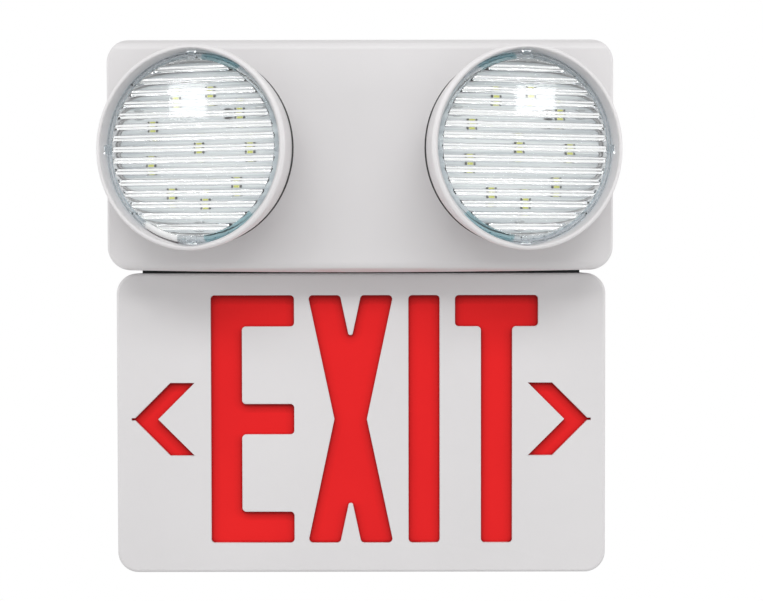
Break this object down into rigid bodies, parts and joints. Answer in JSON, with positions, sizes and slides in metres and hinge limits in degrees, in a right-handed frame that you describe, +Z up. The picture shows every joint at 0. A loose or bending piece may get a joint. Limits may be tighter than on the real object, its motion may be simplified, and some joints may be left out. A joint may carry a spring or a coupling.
{
  "type": "emergency exit light",
  "caption": "Wall-fixed emergency exit light with a stencilled EXIT sign box under a case with turning round lamp heads, a charger board, a battery and a test button.",
  "frame": {"origin": "midway between the two wall-box screws, on the back face against the wall", "axes": "+X to the right seen from the room, +Y into the wall, +Z up; the sign faces -Y"},
  "size_m": [0.3032, 0.1334, 0.3232],
  "materials": {
    "white_case": "moulded white ABS with a fine satin texture",
    "black_strip": "black moulded joining strip",
    "black_rubber": "black moulded rubber seal",
    "clear_lens": "clear polished polycarbonate with level flutes",
    "red_panel": "translucent red diffuser sheet",
    "white_board": "white solder mask on a light board",
    "green_board": "green solder mask",
    "led_chip": "yellow phosphor light chip",
    "steel": "zinc-plated steel",
    "core_iron": "varnished laminations",
    "winding": "yellow winding tape",
    "black_cap": "black sleeve",
    "terminal_green": "green moulded terminal block",
    "button_red": "red moulded button",
    "cell_wrap": "blue shrink wrap"
  },
  "bodies": {
    "root": {"back_plate": "white_case", "front_cover": "white_case", "circuit_board": "green_board", "board_screws": "steel", "transformer_core": "core_iron", "transformer_coil": "winding", "capacitors": "black_cap", "terminal_block": "terminal_green", "test_switch": "black_cap", "button_spring": "steel", "pilot_lamp": "clear_lens", "battery_cells": "cell_wrap", "battery_strap": "steel", "joining_strip": "black_strip", "joining_screws": "steel", "sign_back": "white_case", "sign_face": "white_case", "red_panel": "red_panel", "sign_led_board": "white_board", "sign_led_chips": "led_chip"},
    "button": {"test_button": "button_red"},
    "left_swivel": {"left_swivel_base": "white_case", "left_swivel_nut": "white_case", "left_friction_washer": "steel", "left_hinge_pin": "steel"},
    "left_head": {"left_rear_shell": "white_case", "left_gasket": "black_rubber", "left_bezel": "white_case", "left_lens": "clear_lens", "left_led_board": "white_board", "left_led_chips": "led_chip", "left_led_board_screws": "steel"},
    "right_swivel": {"right_swivel_base": "white_case", "right_swivel_nut": "white_case", "right_friction_washer": "steel", "right_hinge_pin": "steel"},
    "right_head": {"right_rear_shell": "white_case", "right_gasket": "black_rubber", "right_bezel": "white_case", "right_lens": "clear_lens", "right_led_board": "white_board", "right_led_chips": "led_chip", "right_led_board_screws": "steel"}
  },
  "joints": [
    {"name": "left_turn", "type": "hinge", "parent": "root", "child": "left_swivel", "pos_m": [-0.086, -0.0828, 0.0013], "axis": [0, 1, 0], "range_deg": [-175, 175]},
    {"name": "left_tilt", "type": "hinge", "parent": "left_swivel", "child": "left_head", "pos_m": [-0.086, -0.0828, 0.0013], "axis": [0, 0, 1], "range_deg": [-5, 40]},
    {"name": "right_turn", "type": "hinge", "parent": "root", "child": "right_swivel", "pos_m": [0.086, -0.0828, 0.0013], "axis": [0, 1, 0], "range_deg": [-175, 175]},
    {"name": "right_tilt", "type": "hinge", "parent": "right_swivel", "child": "right_head", "pos_m": [0.086, -0.0828, 0.0013], "axis": [0, 0, 1], "range_deg": [-40, 5]},
    {"name": "button_press", "type": "slide", "parent": "root", "child": "button", "axis": [-1, 0, 0], "range_m": [0, 0.002], "stiffness_N_per_m": 300, "springref_m": -0.002, "deforming": ["button_spring"]}
  ]
}
